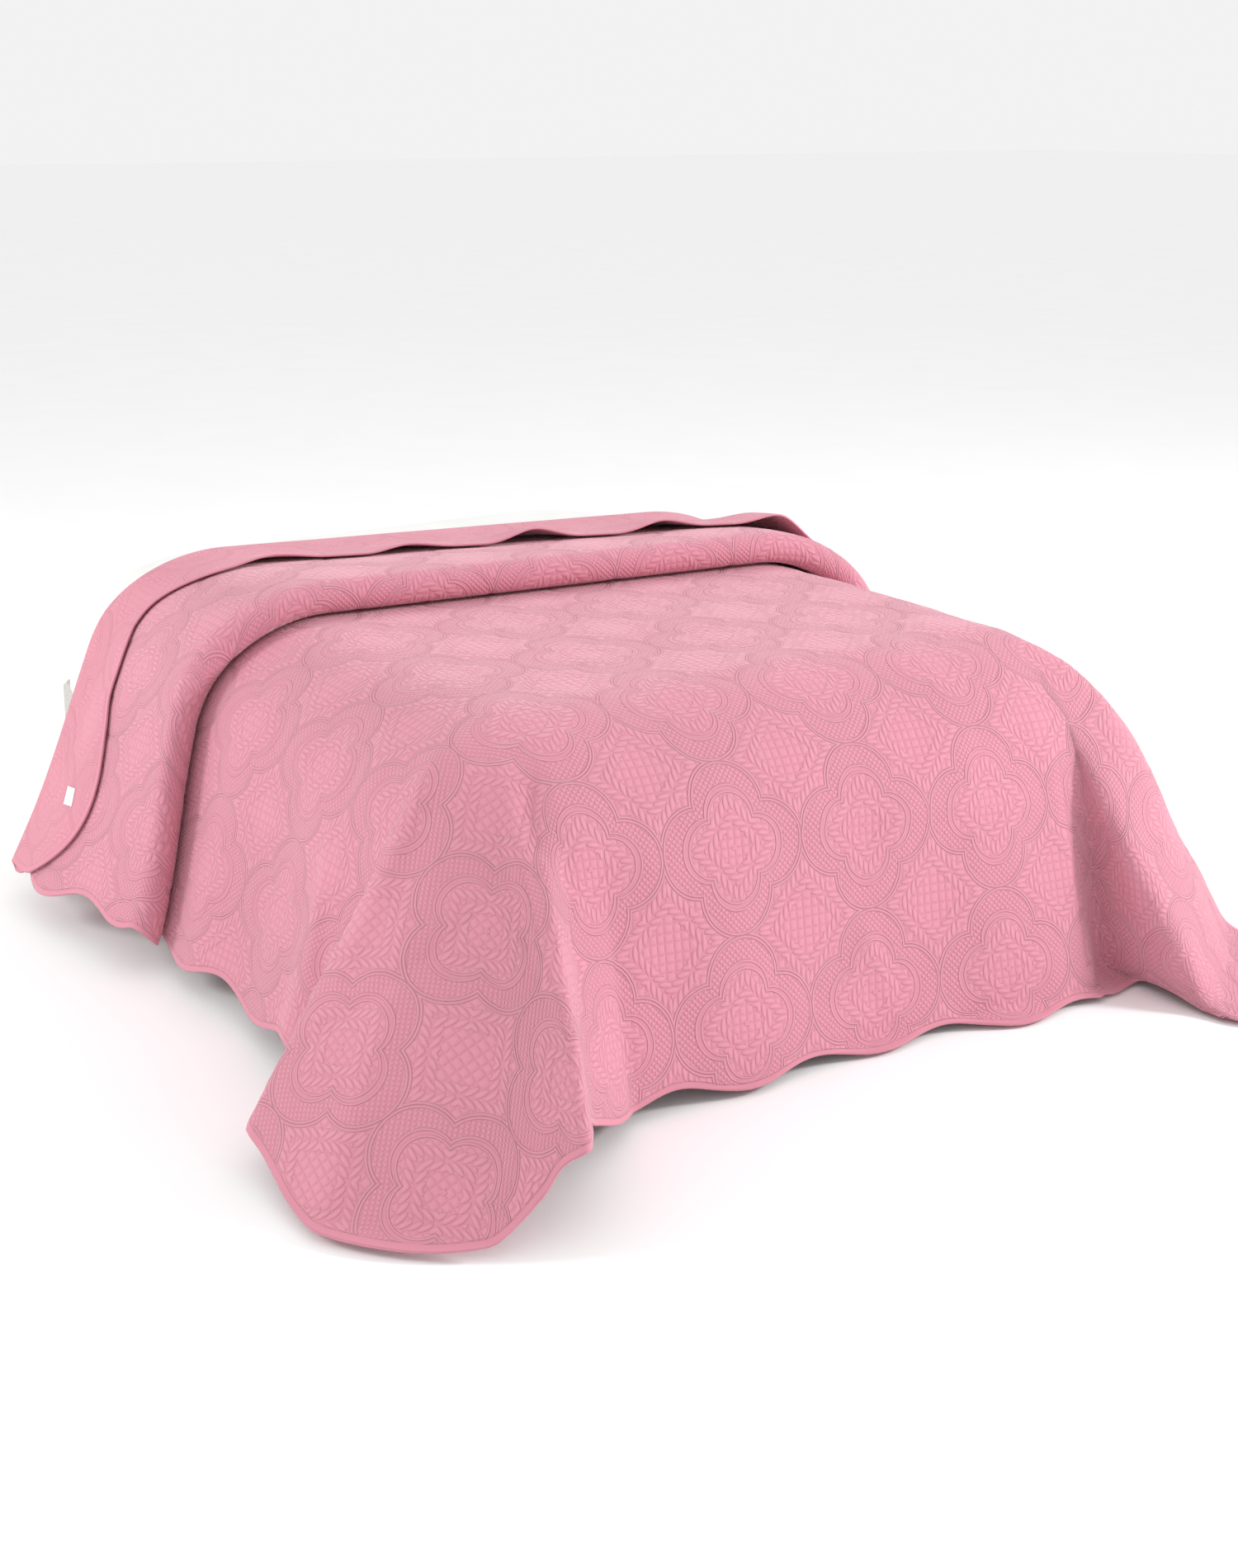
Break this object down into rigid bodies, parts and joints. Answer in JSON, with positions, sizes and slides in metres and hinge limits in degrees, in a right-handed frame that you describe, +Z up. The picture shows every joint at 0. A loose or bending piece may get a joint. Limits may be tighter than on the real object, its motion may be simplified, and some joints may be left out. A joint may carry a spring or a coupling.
{
  "type": "summer quilt spread over a bed base and mattress",
  "caption": "Quilted bedspread with scalloped hem laid over a plain double bed, top end pleated into a roll and turned back, corners falling in folds.",
  "frame": {"origin": "on the floor, under the middle of the bed base", "axes": "+X to the right seen from the foot, +Y from the foot to the head, +Z up"},
  "size_m": [2.0346, 2.3855, 0.7136],
  "materials": {
    "base_fabric": "matte woven upholstery",
    "mattress_cotton": "matte cotton",
    "quilt_fabric": "soft brushed quilted fabric",
    "label_fabric": "satin woven tape"
  },
  "bodies": {
    "root": {"bed_base": "base_fabric", "mattress": "mattress_cotton", "quilt": "quilt_fabric", "care_label": "label_fabric"}
  },
  "joints": []
}
